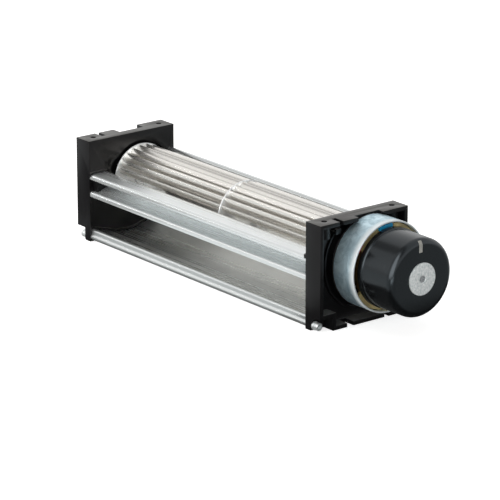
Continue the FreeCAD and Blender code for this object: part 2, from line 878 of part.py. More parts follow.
def capacitor(width, angle):
    """Flat dipped capacitor that lies on the board's outer edge, under the ring's mouth."""
    half = width / 2
    top = board_radius - wall_thickness / 6
    body = block(board_front, board_front + capacitor_length, axis_y - half, axis_y + half,
                 axis_z + top - capacitor_height, axis_z + top)
    rounded = [edge for edge in body.Edges if abs(edge.tangentAt(edge.FirstParameter).x) > 0.9]
    body = body.makeFillet(capacitor_corner_radius, rounded)
    bowed = body.common(x_cylinder(board_radius, board_front, board_front + capacitor_length))
    return about_axis(bowed, angle - 90.0)


def blue_capacitor():
    return capacitor(capacitor_width, capacitor_angle)


def tan_capacitor():
    return capacitor(tan_capacitor_width, tan_capacitor_angle)


def red_lead():
    """Short insulated wire that lies along the board's edge on a circle about the shaft."""
    x = board_front + lead_radius
    y, z = polar(lead_circle, lead_angle - lead_sweep / 2)
    ring = Part.makeCircle(lead_radius, FreeCAD.Vector(x, y, z),
                           FreeCAD.Vector(0, axis_z - z, y - axis_y))
    return Part.Face(Part.Wire(ring)).revolve(axis_point, along_x, lead_sweep)


def board_components():
    """Driver chips and two cans behind the board, and the rotor sensor in front of it."""
    half = chip_length / 2
    chip = block(board_back - chip_height, board_back, axis_y - half, axis_y + half,
                 axis_z + chip_circle - chip_width / 2, axis_z + chip_circle + chip_width / 2)
    chips = ring_of(chip, chip_count)
    half = sensor_width / 2
    sensor = block(board_front, board_front + sensor_height, axis_y - half, axis_y + half,
                   axis_z + sensor_circle - half, axis_z + sensor_circle + half)
    cans = [x_cylinder(can_radius, board_back - can_length, board_back, *polar(can_circle, angle))
            for angle in can_angles]
    return chips + [about_axis(sensor, sensor_angle - 90.0)] + cans


def stator_outline(x_from, x_to):
    """The lamination's shape: yoke ring, straight teeth and curved pole shoes."""
    bore = tube_radius + stator_bore_clearance
    yoke = tube_radius + yoke_width
    shoe_inner = stator_radius - shoe_thickness
    half_tooth = tooth_width / 2
    tooth = block(x_from, x_to, axis_y, axis_y + shoe_inner + shoe_thickness / 2,
                  axis_z - half_tooth, axis_z + half_tooth)
    half_shoe = math.radians(shoe_angle / 2)
    middle_radius = (shoe_inner + stator_radius) / 2
    shoe = strip([("arc", (axis_y, axis_z), middle_radius, -half_shoe, 2 * half_shoe)],
                 shoe_thickness, x_from, x_to)
    teeth = ring_of(tooth.fuse(shoe), tooth_count)
    return x_cylinder(yoke, x_from, x_to).fuse(teeth).cut(x_cylinder(bore, x_from, x_to))


def stator_core():
    return stator_outline(stack_back, stack_front)


def stator_insulators():
    return [stator_outline(stack_back - insulator_thickness, stack_back),
            stator_outline(stack_front, stack_front + insulator_thickness)]


def stator_coils():
    """One wound coil round each tooth."""
    reach = insulator_thickness + coil_clearance
    half = tooth_width / 2 + coil_clearance
    shoe_reach = math.sqrt((stator_radius - shoe_thickness) ** 2 - (half + coil_thickness) ** 2)
    inner = axis_y + tube_radius + yoke_width + coil_shoe_clearance
    outer = axis_y + shoe_reach - coil_shoe_clearance
    outside = block(stack_back - coil_reach, stack_front + coil_reach, inner, outer,
                    axis_z - half - coil_thickness, axis_z + half + coil_thickness)
    radial = [edge for edge in outside.Edges if abs(edge.tangentAt(edge.FirstParameter).y) > 0.9]
    outside = outside.makeFillet(coil_corner_radius, radial)
    inside = block(stack_back - reach, stack_front + reach, inner, outer, axis_z - half, axis_z + half)
    return ring_of(outside.cut(inside), tooth_count)


# Motor, turning parts

def rotor_cup():
    """Drawn cup with a raised band at its mouth, inside the ring's front, and a rounded edge."""
    band = cup_radius + cup_band_step
    band_end = cup_back + cup_band_length
    inner_face = cup_face - cup_face_thickness
    return turned([
        (cup_back, cup_inner_radius), (cup_back, band), (band_end, band),
        (band_end + cup_band_step, cup_radius), (cup_face, cup_radius), (cup_face, hub_neck_radius),
        (inner_face, hub_neck_radius), (inner_face, cup_inner_radius)],
        {1: cup_rim_rounding, 4: cup_edge_radius, 7: cup_edge_radius - cup_wall})


def rotor_magnet():
    start = cup_back + magnet_start
    return x_tube(cup_inner_radius - magnet_clearance, magnet_inner_radius, start, start + magnet_length)


def rotor_hub():
    """Hub riveted through the cup's face, bored for the shaft, with a pit at its centre."""
    inner_face = cup_face - cup_face_thickness
    boss_end = front_bearing_back + bearing_length + washer_thickness
    return turned([
        (boss_end, shaft_radius), (boss_end, hub_boss_radius), (hub_inner_face, hub_boss_radius),
        (hub_inner_face, hub_inner_flange_radius), (inner_face, hub_inner_flange_radius),
        (inner_face, hub_neck_radius), (cup_face, hub_neck_radius), (cup_face, hub_radius),
        (hub_face, hub_radius), (hub_face, hub_pit_radius),
        (hub_face - hub_pit_depth, shaft_radius)],
        {8: hub_pit_depth / 2})


def motor_shaft():
    start = blade_end - bush_length
    return x_cylinder(shaft_radius, start, hub_face - shaft_set_back)


def shaft_clip():
    """Open clip on the shaft behind the rear bearing, which holds the rotor in."""
    end = rear_bearing_back - washer_thickness
    clip = x_tube(clip_radius, shaft_radius, end - clip_thickness, end)
    half = math.radians(clip_opening / 2)
    past = clip_radius * 2
    wedge = polygon_prism([(axis_y, axis_z),
                           (axis_y + past * math.cos(half), axis_z - past * math.sin(half)),
                           (axis_y + past * math.cos(half), axis_z + past * math.sin(half))],
                          end - clip_thickness, end)
    return clip.cut(wedge)


def thrust_washers():
    clearance = running_clearance
    spans = [(rear_bearing_back - washer_thickness, rear_bearing_back - clearance),
             (front_bearing_back + bearing_length + clearance,
              front_bearing_back + bearing_length + washer_thickness)]
    return [x_tube(washer_radius, shaft_radius, start, end) for start, end in spans]


pieces = {
    "left_end_plate": left_end_plate,
    "right_end_plate": right_end_plate,
    "scroll_sheet": scroll_sheet,
    "stabiliser_sheet": stabiliser_sheet,
    "hem_screws": hem_screws,
    "bearing_rubber": bearing_rubber,
    "idle_bearing": idle_bearing,
    "bearing_cap": bearing_cap,
    "motor_flange": motor_flange,
    "flange_screws": flange_screws,
    "motor_ring": motor_ring,
    "motor_bearings": motor_bearings,
    "circuit_board": circuit_board,
    "blue_capacitor": blue_capacitor,
    "tan_capacitor": tan_capacitor,
    "red_lead": red_lead,
    "board_components": board_components,
    "stator_core": stator_core,
    "stator_insulators": stator_insulators,
    "stator_coils": stator_coils,
    "idle_disc": idle_disc,
    "mid_disc": mid_disc,
    "drive_disc": drive_disc,
    "impeller_blades": impeller_blades,
    "stub_axle": stub_axle,
    "drive_bush": drive_bush,
    "grub_screw": grub_screw,
    "motor_shaft": motor_shaft,
    "shaft_clip": shaft_clip,
    "thrust_washers": thrust_washers,
    "rotor_hub": rotor_hub,
    "rotor_cup": rotor_cup,
    "rotor_magnet": rotor_magnet,
}

os.makedirs("parts", exist_ok=True)
for name, make in pieces.items():
    made = make()
    shape = Part.makeCompound(made) if isinstance(made, list) else made.removeSplitter()
    shape.translate(to_frame)
    shape.exportStep("parts/" + name + ".step")
    print(name, "solids", len(shape.Solids), "valid", shape.isValid(), "volume", round(shape.Volume, 1))
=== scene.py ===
import json
import math
import random

import bmesh
import bpy
from bpy.props import FloatProperty, FloatVectorProperty, IntProperty, PointerProperty
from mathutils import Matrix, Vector


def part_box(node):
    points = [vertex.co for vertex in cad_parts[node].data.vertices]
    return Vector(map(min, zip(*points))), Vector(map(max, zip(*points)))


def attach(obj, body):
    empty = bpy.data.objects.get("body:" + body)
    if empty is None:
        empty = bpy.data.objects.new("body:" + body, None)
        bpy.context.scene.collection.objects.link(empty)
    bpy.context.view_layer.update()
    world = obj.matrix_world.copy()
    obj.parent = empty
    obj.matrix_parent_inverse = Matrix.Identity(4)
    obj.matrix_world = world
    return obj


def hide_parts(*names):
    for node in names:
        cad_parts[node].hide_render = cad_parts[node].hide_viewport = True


bl_info = {
    "name": "Cross flow fan",
    "version": (1, 0, 0),
    "blender": (4, 5, 0),
    "location": "3D View > Sidebar > Fan",
    "description": "Dresses the packed cross flow fan in plastic, sheet metal and motor finishes",
    "category": "Object",
}

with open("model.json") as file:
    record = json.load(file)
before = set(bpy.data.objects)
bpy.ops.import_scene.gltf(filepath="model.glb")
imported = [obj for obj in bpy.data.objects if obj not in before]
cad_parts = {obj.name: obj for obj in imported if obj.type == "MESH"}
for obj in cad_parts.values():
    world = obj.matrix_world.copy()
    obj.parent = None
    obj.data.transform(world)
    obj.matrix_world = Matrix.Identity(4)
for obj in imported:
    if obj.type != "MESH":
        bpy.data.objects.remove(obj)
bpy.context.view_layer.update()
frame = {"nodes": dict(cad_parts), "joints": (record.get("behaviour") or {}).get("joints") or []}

MM = 0.001
WHITE = (1.0, 1.0, 1.0, 1.0)

# Places read from the frame
sheet_low, sheet_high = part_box("scroll_sheet")
stabiliser_low, stabiliser_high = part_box("stabiliser_sheet")
blades_low, blades_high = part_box("impeller_blades")
idle_low, idle_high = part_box("idle_disc")
drive_low, drive_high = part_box("drive_disc")
ring_low, ring_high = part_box("motor_ring")
cup_low, cup_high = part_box("rotor_cup")
board_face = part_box("circuit_board")[1].x
middle_x = (sheet_low.x + sheet_high.x) / 2
front_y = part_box("right_end_plate")[0].y
axis = Vector(frame["joints"][0]["pos_m"])


# Sizes and colours

def length(label, about, millimetres):
    return FloatProperty(name=label, description=about, default=millimetres * MM,
                         min=0.0, subtype="DISTANCE", unit="LENGTH", precision=5)


def rotation(label, about, degrees):
    return FloatProperty(name=label, description=about, default=math.radians(degrees),
                         subtype="ANGLE", unit="ROTATION")


def colour(label, about, value):
    return FloatVectorProperty(name=label, description=about, default=value, size=3,
                               min=0.0, max=1.0, subtype="COLOR")


def share(label, about, value):
    return FloatProperty(name=label, description=about, default=value, min=0.0, max=1.0,
                         subtype="FACTOR")


class FanSheetSizes(bpy.types.PropertyGroup):
    thickness: length("Sheet thickness", "Thickness of the folded duct sheet", 0.7)
    hem_radius: length("Hem radius", "Outer radius of the rolled hems", 1.6)
    bend_radius: length("Bend radius", "Centre line radius of the sharp folds", 0.75)
    cut_edge: length("Cut edge", "Rounding of the sheet's cut edges", 0.1)
    scroll_radius: length("Scroll radius", "Centre line radius of the duct's scroll", 27.85)
    front_hem_height: length("Front hem height", "Height of the front hem's centre", 2.2)
    rail_height: length("Rail height", "Height of the rail's top edge", 6.15)
    rail_set_back: length("Rail set back", "How far the rail stands behind the front hem", 0.6)
    front_wrap: rotation("Front hem wrap", "How far the front hem is rolled round", 245)
    rear_wrap: rotation("Rear hem wrap", "How far the rear hem is rolled round", 300)
    ramp_angle: rotation("Ramp angle", "Slope of the duct's front ramp", 15)


class FanImpellerSizes(bpy.types.PropertyGroup):
    blades: IntProperty(name="Blades", description="Number of blades", default=24, min=3)
    blade_thickness: length("Blade thickness", "Thickness of one blade", 0.4)
    blade_outer: length("Blade outer radius", "From the axis to a blade's outer edge", 14.9)
    blade_inner: length("Blade inner radius", "From the axis to a blade's inner edge", 10.3)
    blade_angle: rotation("Blade outer angle", "Sweep of a blade's outer edge", 26)
    blade_phase: rotation("Blade phase", "Turn of the first blade at rest", -4.8)
    rim_edge: length("Rim edge", "Rounding of the discs' rims", 0.12)
    unevenness: length("Unevenness", "How far a blade strays from its even place", 0.05)


class FanMotorSizes(bpy.types.PropertyGroup):
    ring_wall: length("Ring wall", "Wall thickness of the motor ring", 0.8)
    cup_band_step: length("Cup band step", "How far the band at the cup's mouth stands out", 0.35)
    cup_band_length: length("Cup band length", "Length of the band at the cup's mouth", 2.7)
    cup_edge: length("Cup edge radius", "Rounding of the cup's front edge", 3.0)
    mark_width: length("Index mark width", "Width of the pale mark on the cup", 1.8)
    mark_inner: length("Index mark inner radius", "Where the mark begins", 11.7)
    mark_outer: length("Index mark outer radius", "Where the mark ends", 16.8)


class FanColours(bpy.types.PropertyGroup):
    plastic: colour("End plates", "Moulded plastic of the end plates", (0.0045, 0.0043, 0.0047))
    zinc: colour("Duct sheet", "Zinc coated sheet", (0.87, 0.89, 0.89))
    ring_zinc: colour("Motor ring", "Mottled zinc of the motor ring", (0.74, 0.92, 1.0))
    blade: colour("Blades", "Bright rolled metal of the blades", (0.96, 0.945, 0.915))
    disc: colour("Discs", "Bright metal of the impeller's discs", (0.93, 0.94, 0.95))
    cup: colour("Rotor cup", "Coat of the rotor cup", (0.0045, 0.0048, 0.0052))
    hub: colour("Rotor hub", "Blasted metal of the hub", (0.84, 0.88, 0.87))
    mark: colour("Index mark", "Paint of the index mark", (0.42, 0.42, 0.39))
    board: colour("Circuit board", "Laminate of the circuit board", (0.75, 0.62, 0.30))
    capacitor: colour("Blue capacitor", "Coat of the blue capacitor", (0.01, 0.38, 0.72))
    tan_capacitor: colour("Tan capacitor", "Coat of the tan capacitor", (0.74, 0.60, 0.28))
    lead: colour("Lead", "Insulation of the lead", (0.75, 0.02, 0.015))
    floor: share("Floor", "Paleness of the floor", 0.86)


# Materials

class Nodes:
    """A node tree, with short calls that add nodes. A value is a number, a colour or a socket."""

    def __init__(self, tree):
        self.tree = tree

    def fill(self, socket, value):
        if isinstance(value, bpy.types.NodeSocket):
            self.tree.links.new(value, socket)
        else:
            socket.default_value = value

    def fill_by_name(self, node, inputs):
        for key, value in inputs.items():
            self.fill(node.inputs[key.replace("_", " ")], value)
        return node

    def fill_in_order(self, node, *values):
        for socket, value in zip(node.inputs, values):
            self.fill(socket, value)
        return node

    def node(self, kind, **inputs):
        return self.fill_by_name(self.tree.nodes.new(kind), inputs)

    def calculated(self, operation, *values):
        made = self.node("ShaderNodeMath")
        made.operation = operation
        return self.fill_in_order(made, *values).outputs[0]

    def product(self, first, *others):
        for other in others:
            first = self.calculated("MULTIPLY", first, other)
        return first

    def distance(self, place, point):
        made = self.node("ShaderNodeVectorMath")
        made.operation = "DISTANCE"
        return self.fill_in_order(made, place, point).outputs["Value"]

    def coordinates(self, vector):
        """The X, Y and Z of a vector."""
        return self.node("ShaderNodeSeparateXYZ", Vector=vector).outputs

    def ramp(self, value, low, high, start=0.3, end=0.7, kind="LINEAR"):
        """Maps a value between start and end to a number between low and high."""
        made = self.node("ShaderNodeMapRange", Value=value, From_Min=start, From_Max=end,
                         To_Min=low, To_Max=high)
        made.interpolation_type = kind
        return made.outputs["Result"]

    def eased(self, value, low, high, start, end):
        """A ramp with soft ends."""
        return self.ramp(value, low, high, start, end, "SMOOTHSTEP")

    def mix_colours(self, factor, first, second):
        made = self.node("ShaderNodeMix")
        made.data_type = "RGBA"
        # A Mix node has sockets for each kind of data: these are its factor and its colours.
        for index, value in ((0, factor), (6, first), (7, second)):
            self.fill(made.inputs[index], value)
        return made.outputs[2]

    def mix_shaders(self, factor, first, second):
        made = self.node("ShaderNodeMixShader")
        return self.fill_in_order(made, factor, first, second).outputs[0]


class Finish(Nodes):
    """A material and its node tree, with patterns in the coordinates of the object."""

    def __init__(self, name):
        self.material = bpy.data.materials.new(name)
        self.material.use_nodes = True
        super().__init__(self.material.node_tree)
        self.shader = self.tree.nodes["Principled BSDF"]

    def place(self, scale=(1.0, 1.0, 1.0)):
        """Object coordinates: a small number draws the pattern out along that axis."""
        coordinate = self.node("ShaderNodeTexCoord")
        mapping = self.node("ShaderNodeMapping", Vector=coordinate.outputs["Object"], Scale=scale)
        return mapping.outputs["Vector"]

    def noise(self, scale, detail=4.0, roughness=0.5, stretch=(1.0, 1.0, 1.0), distortion=0.0):
        made = self.node("ShaderNodeTexNoise", Vector=self.place(stretch), Scale=scale,
                         Detail=detail, Roughness=roughness, Distortion=distortion)
        return made.outputs["Fac"]

    def upward(self, clouds):
        """Fine dust and a painted sheen: faces that look up are lightened, a little more in the
        clouds.
        """
        normal = self.node("ShaderNodeNewGeometry").outputs["Normal"]
        facing = self.ramp(self.coordinates(normal)["Z"], 0.0, 1.0, 0.7, 0.95)
        return self.product(facing, self.ramp(clouds, 0.75, 1.0))

    def bump(self, height, strength, distance, under=None):
        """Raises the surface by a pattern, on top of the bumps under it."""
        made = self.node("ShaderNodeBump", Height=height, Strength=strength, Distance=distance)
        if under is not None:
            self.fill(made.inputs["Normal"], under)
        return made.outputs["Normal"]

    def set(self, **inputs):
        """Fills the shader's inputs and gives the material back."""
        self.fill_by_name(self.shader, inputs)
        return self.material


def rgba(colour_value, factor=1.0, tint=(1.0, 1.0, 1.0)):
    return tuple(min(1.0, c * factor * t) for c, t in zip(colour_value, tint)) + (1.0,)


def moulded_plastic(name, base):
    """Textured moulding: flow clouds, spark eroded grain, gloss changes, dust and a painted top
    sheen.
    """
    finish = Finish(name)
    dust_and_sheen = (0.12, 0.118, 0.113, 1.0)
    clouds = finish.noise(45.0, detail=5.0, roughness=0.6)
    grain = finish.noise(2600.0, detail=3.0, roughness=0.65)
    shade = finish.mix_colours(finish.ramp(clouds, 0.0, 1.0), rgba(base, 0.8), rgba(base, 1.35))
    # Painted sheen: the dust colour on upward faces also paints in the glare that the top faces
    # show.
    shade = finish.mix_colours(finish.upward(clouds), shade, dust_and_sheen)
    gloss = finish.ramp(finish.noise(140.0, detail=3.0), 0.30, 0.44)
    normal = finish.bump(grain, 0.16, 0.00006)
    return finish.set(Base_Color=shade, Roughness=gloss, Normal=normal, Specular_IOR_Level=0.27)


def rolled_metal(name, base, roughness, stretch, tint=(0.97, 0.99, 1.0), streak=0.12, wave=0.12,
                 metallic=1.0, lines_depth=0.06, bright_hems=None, bright_end=None):
    """Sheet metal with rolling lines drawn out along one axis and a faint unevenness.

    bright_hems gives four places along Y: the front hem's shine fades between the first two and
    the rear hem's shine comes up between the last two. bright_end gives the two places along X
    between which the sheet loses the shine that it has at the left plate.
    """
    finish = Finish(name)
    lines = finish.noise(1.0, detail=6.0, roughness=0.7, stretch=stretch)
    wide = finish.noise(1.0, detail=3.0, stretch=tuple(s * 0.16 for s in stretch))
    patches = finish.noise(38.0, detail=3.0, distortion=0.4)
    shade = finish.mix_colours(finish.ramp(lines, 0.0, 1.0, 0.36, 0.66),
                               rgba(base, 1.0 - streak, tint), rgba(base, 1.0 + streak * 0.6))
    shade = finish.mix_colours(finish.ramp(patches, 0.0, 0.5), shade, rgba(base, 0.93, tint))
    gloss = finish.ramp(wide, roughness - 0.05, roughness + 0.07)
    normal = finish.bump(lines, lines_depth, 0.00003)
    normal = finish.bump(patches, wave, 0.0004, under=normal)
    if bright_hems:
        x, y, _ = finish.coordinates(finish.place())
        hems = finish.calculated("MAXIMUM", finish.ramp(y, 0.9, 0.0, *bright_hems[:2]),
                                 finish.ramp(y, 0.0, 0.9, *bright_hems[2:]))
        metallic = finish.calculated("MAXIMUM", hems, finish.ramp(x, 0.92, metallic, *bright_end))
    return finish.set(Base_Color=shade, Metallic=metallic, Roughness=gloss, Normal=normal)


def mottled_zinc(name, base, bright_edge):
    """Passivated zinc with cloudy blue grey patches and darker smears, and a painted highlight at
    one edge.

    bright_edge gives the two places along X between which the painted highlight comes up.
    """
    finish = Finish(name)
    edge_highlight_colour = (0.90, 0.97, 1.0, 1.0)
    clouds = finish.noise(260.0, detail=5.0, roughness=0.6, stretch=(1.0, 0.9, 0.7),
                          distortion=0.6)
    smears = finish.noise(85.0, detail=4.0, roughness=0.6, stretch=(1.2, 0.8, 0.6),
                          distortion=0.6)
    specks = finish.noise(900.0, detail=2.0)
    shade = finish.mix_colours(finish.ramp(clouds, 0.0, 1.0, 0.38, 0.64),
                               rgba(base, 0.62, (0.90, 1.0, 1.04)), rgba(base, 1.0))
    shade = finish.mix_colours(finish.ramp(smears, 0.0, 0.55, 0.5, 0.72), shade,
                               rgba(base, 0.55, (0.86, 1.0, 1.05)))
    x = finish.coordinates(finish.place())["X"]
    # Painted highlight: the front edge turns pale and less metallic, standing in for the light it
    # catches.
    shade = finish.mix_colours(finish.ramp(x, 0.0, 1.0, *bright_edge), shade, edge_highlight_colour)
    metallic = finish.ramp(x, 0.8, 0.3, *bright_edge)
    gloss = finish.ramp(clouds, 0.50, 0.36)
    normal = finish.bump(clouds, 0.12, 0.0003)
    normal = finish.bump(specks, 0.08, 0.00004, under=normal)
    return finish.set(Base_Color=shade, Metallic=metallic, Roughness=gloss, Normal=normal)


def coated_cup(name, base):
    """Smooth black coat with a little orange peel."""
    finish = Finish(name)
    peel = finish.noise(620.0, detail=2.0)
    hazes = finish.noise(60.0, detail=3.0)
    shade = finish.mix_colours(finish.ramp(hazes, 0.0, 1.0), rgba(base, 0.85), rgba(base, 1.2))
    return finish.set(Base_Color=shade, Roughness=finish.ramp(hazes, 0.16, 0.22),
                      Normal=finish.bump(peel, 0.09, 0.0001), Specular_IOR_Level=0.58,
                      Specular_Tint=(0.80, 0.92, 1.0, 1.0))


def blasted_metal(name, base):
    """Sand blasted metal: dull, speckled and finely pitted."""
    finish = Finish(name)
    grit = finish.noise(1900.0, detail=4.0, roughness=0.7)
    spots = finish.noise(1000.0, detail=3.0, roughness=0.6)
    shade = finish.mix_colours(finish.ramp(spots, 0.0, 1.0, 0.35, 0.65),
                               rgba(base, 0.8, (0.95, 1.0, 1.02)), rgba(base, 1.16))
    return finish.set(Base_Color=shade, Metallic=0.25, Roughness=finish.ramp(spots, 0.55, 0.7),
                      Normal=finish.bump(grit, 0.5, 0.00012))


def turned_metal(name, base, roughness=0.28, metallic=1.0):
    """Turned or plated small parts with fine tool marks round them."""
    finish = Finish(name)
    marks = finish.noise(1.0, detail=4.0, stretch=(9000.0, 500.0, 500.0))
    shade = finish.mix_colours(finish.ramp(marks, 0.0, 1.0), rgba(base, 0.82), rgba(base, 1.1))
    gloss = finish.ramp(marks, roughness - 0.06, roughness + 0.08)
    return finish.set(Base_Color=shade, Metallic=metallic, Roughness=gloss,
                      Normal=finish.bump(marks, 0.12, 0.00003))


def speckled_matter(name, base, roughness, metallic=0.0, grain=900.0, depth=0.25, spread=0.2,
                    painted_shadow=None):
    """Laminate, ferrite, rubber, nylon and moulded cases: mottled colour and a fine grain.

    The last argument gives the middle of a painted shadow and the two distances between which it
    fades.
    """
    finish = Finish(name)
    grains = finish.noise(grain, detail=4.0, roughness=0.6)
    patches = finish.noise(grain * 0.12, detail=3.0)
    shade = finish.mix_colours(finish.ramp(patches, 0.0, 1.0), rgba(base, 1.0 - spread),
                               rgba(base, 1.0 + spread))
    if painted_shadow:
        middle, dark_to, unshaded_from = painted_shadow
        faded = finish.ramp(finish.distance(finish.place(), middle), 0.0, 1.0, dark_to, unshaded_from)
        # Painted shadow: the laminate turns brown black where the ring and the cup shade it.
        shade = finish.mix_colours(faded, rgba(base, 0.1, (1.0, 0.7, 0.5)), shade)
    gloss = finish.ramp(grains, roughness - 0.05, roughness + 0.08)
    return finish.set(Base_Color=shade, Metallic=metallic, Roughness=gloss,
                      Normal=finish.bump(grains, depth, 0.00005))


def banded_matter(name, base, pitch, roughness, metallic):
    """Stacked laminations or wound wire: fine even lines across X."""
    finish = Finish(name)
    wave_scale = math.pi / (20.0 * pitch)
    lines = finish.node("ShaderNodeTexWave", Vector=finish.place(), Scale=wave_scale,
                        Distortion=0.2, Detail=1.0).outputs["Fac"]
    shade = finish.mix_colours(lines, rgba(base, 0.55), rgba(base, 1.15))
    return finish.set(Base_Color=shade, Metallic=metallic, Roughness=roughness,
                      Normal=finish.bump(lines, 0.5, pitch * 0.3))


def glossy_coat(name, base, roughness=0.16):
    """Dipped or extruded glossy coat with a soft unevenness."""
    finish = Finish(name)
    swell = finish.noise(420.0, detail=2.0)
    shade = finish.mix_colours(finish.ramp(swell, 0.0, 1.0), rgba(base, 0.8), rgba(base, 1.2))
    return finish.set(Base_Color=shade, Roughness=finish.ramp(swell, roughness, roughness + 0.1),
                      Normal=finish.bump(swell, 0.25, 0.0001), Coat_Weight=0.4,
                      Coat_Roughness=0.08)


def make_finishes(colours):
    along_duct = (16.0, 2600.0, 2600.0)
    every_way = (900.0, 900.0, 900.0)
    hem_back = sheet_low.y + 2.5 * MM
    hem_places = (hem_back, hem_back + 2.0 * MM, sheet_high.y - 5.0 * MM, sheet_high.y - 3.5 * MM)
    # The board's painted shadow, where the ring and the cup shade its side towards the front.
    painted_shadow = ((board_face, axis.y - 23.5 * MM, axis.z + 0.5 * MM), 12.6 * MM, 13.6 * MM)
    return {
        "black_plastic": moulded_plastic("moulded_plastic", colours.plastic),
        "galvanised": rolled_metal("galvanised_sheet", colours.zinc, 0.24, along_duct,
                                   streak=0.08, wave=0.08, metallic=0.74, lines_depth=0.02),
        "duct_zinc": rolled_metal("duct_zinc", colours.zinc, 0.28, along_duct, (0.98, 0.99, 0.98),
                                  streak=0.04, wave=0.06, metallic=0.46, lines_depth=0.008,
                                  bright_hems=hem_places, bright_end=(-54.0 * MM, -28.0 * MM)),
        "ring_zinc": mottled_zinc("mottled_zinc", colours.ring_zinc,
                                  (ring_high.x - 3.6 * MM, ring_high.x - 1.0 * MM)),
        "blade_metal": rolled_metal("blade_metal", colours.blade, 0.24, along_duct,
                                    (1.0, 0.98, 0.95), streak=0.05, wave=0.04, metallic=0.88),
        "disc_metal": rolled_metal("disc_metal", colours.disc, 0.35, every_way, metallic=0.55),
        "zinc_screw": turned_metal("plated_screw", (0.86, 0.90, 0.90), 0.30, 0.7),
        "steel": turned_metal("turned_steel", (0.56, 0.57, 0.58)),
        "cup_black": coated_cup("cup_coat", colours.cup),
        "index_paint": speckled_matter("index_paint", colours.mark, 0.5, grain=1500.0,
                                       spread=0.12),
        "blasted_hub": blasted_metal("blasted_hub", colours.hub),
        "board": speckled_matter("board_laminate", colours.board, 0.32, grain=1200.0, spread=0.3,
                                 painted_shadow=painted_shadow),
        "blue_coat": glossy_coat("blue_capacitor_coat", colours.capacitor),
        "tan_coat": glossy_coat("tan_capacitor_coat", colours.tan_capacitor),
        "red_insulation": glossy_coat("lead_insulation", colours.lead, 0.3),
        "chip_black": speckled_matter("chip_case", (0.02, 0.02, 0.02), 0.45, grain=2200.0),
        "lamination": banded_matter("stator_laminations", (0.34, 0.34, 0.36), 0.5 * MM, 0.42, 0.9),
        "insulator": speckled_matter("nylon_insulator", (0.72, 0.71, 0.64), 0.4, depth=0.1,
                                     spread=0.05),
        "copper": banded_matter("copper_winding", (0.60, 0.25, 0.09), 0.4 * MM, 0.3, 0.9),
        "magnet": speckled_matter("ferrite_magnet", (0.06, 0.06, 0.065), 0.55, metallic=0.3),
        "rubber": speckled_matter("soft_rubber", (0.018, 0.018, 0.018), 0.7, grain=1500.0),
        "bronze": speckled_matter("sintered_bronze", (0.52, 0.34, 0.14), 0.45, metallic=0.9,
                                  grain=2400.0),
        "flange_metal": speckled_matter("cast_flange", (0.03, 0.03, 0.032), 0.45, metallic=0.2),
    }


finishes = {}


# Mesh helpers

def new_piece(name, shape, finish, body, replaced=(), smooth_under=40.0):
    """Turns a bmesh into an object of the fan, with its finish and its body."""
    bmesh.ops.recalc_face_normals(shape, faces=shape.faces)
    mesh = bpy.data.meshes.new(name)
    shape.to_mesh(mesh)
    shape.free()
    mesh.shade_smooth()
    mesh.set_sharp_from_angle(angle=math.radians(smooth_under))
    piece = bpy.data.objects.new(name, mesh)
    bpy.context.scene.collection.objects.link(piece)
    mesh.materials.append(finishes[finish])
    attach(piece, body)
    if replaced:
        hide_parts(*replaced)
    return piece


def round_corners(corners, radii, steps=8):
    """Points along a line through corners, with an arc of the given radius at each one.

    An end that has a radius is rounded towards the other end, as in a closed outline.
    """
    points = []
    for index, (corner, radius) in enumerate(zip(corners, radii)):
        if radius <= 0.0:
            points.append(tuple(corner))
            continue
        here = Vector(corner)
        back = (Vector(corners[index - 1]) - here).normalized()
        ahead = (Vector(corners[(index + 1) % len(corners)]) - here).normalized()
        half = back.angle(ahead) / 2
        centre = here + (back + ahead).normalized() * (radius / math.sin(half))
        start = here + back * (radius / math.tan(half)) - centre
        end = here + ahead * (radius / math.tan(half)) - centre
        turn = math.atan2(start.x * end.y - start.y * end.x, start.dot(end))
        for step in range(steps + 1):
            angle = turn * step / steps
            cos, sin = math.cos(angle), math.sin(angle)
            points.append((centre.x + start.x * cos - start.y * sin,
                           centre.y + start.x * sin + start.y * cos))
    return points


def arc_points(centre, radius, start, sweep, steps):
    """Points along an arc that begins at one angle and sweeps through another."""
    angles = [start + sweep * step / steps for step in range(steps + 1)]
    return [(centre[0] + radius * math.cos(angle), centre[1] + radius * math.sin(angle))
            for angle in angles]


def thin_out(points, least=1e-7):
    """The points of a line without those that lie on the one before."""
    kept = [points[0]]
    for point in points[1:]:
        if math.dist(point, kept[-1]) > least:
            kept.append(point)
    return kept


def even_stations(start, end, count):
    return [start + (end - start) * index / count for index in range(count + 1)]


def side_lines(points, thickness):
    """The two faces of a sheet whose centre line is given."""
    left, right = [], []
    last = len(points) - 1
    for index, point in enumerate(points):
        before, after = points[max(index - 1, 0)], points[min(index + 1, last)]
        direction = Vector((after[0] - before[0], after[1] - before[1])).normalized()
        offset = Vector((-direction.y, direction.x)) * thickness / 2
        left.append((point[0] + offset.x, point[1] + offset.y))
        right.append((point[0] - offset.x, point[1] - offset.y))
    return left, right


def join_loops(shape, first, second):
    """Faces between two closed loops of as many vertices."""
    for index in range(len(first)):
        after = (index + 1) % len(first)
        shape.faces.new((first[index], first[after], second[after], second[index]))


def sheet_shape(points, thickness, stations, shift=None):
    """A folded sheet: the (y, z) centre line drawn out along X through the stations."""
    left, right = side_lines(points, thickness)
    outline = left + right[::-1]
    shape = bmesh.new()
    loops = []
    for x in stations:
        loop = []
        for y, z in outline:
            dy, dz = shift(x, y, z) if shift else (0.0, 0.0)
            loop.append(shape.verts.new((x, y + dy, z + dz)))
        loops.append(loop)
    for first, second in zip(loops, loops[1:]):
        join_loops(shape, first, second)
    for loop in (loops[0], loops[-1]):
        for index in range(len(left) - 1):
            shape.faces.new((loop[index], loop[index + 1], loop[-2 - index], loop[-1 - index]))
    return shape


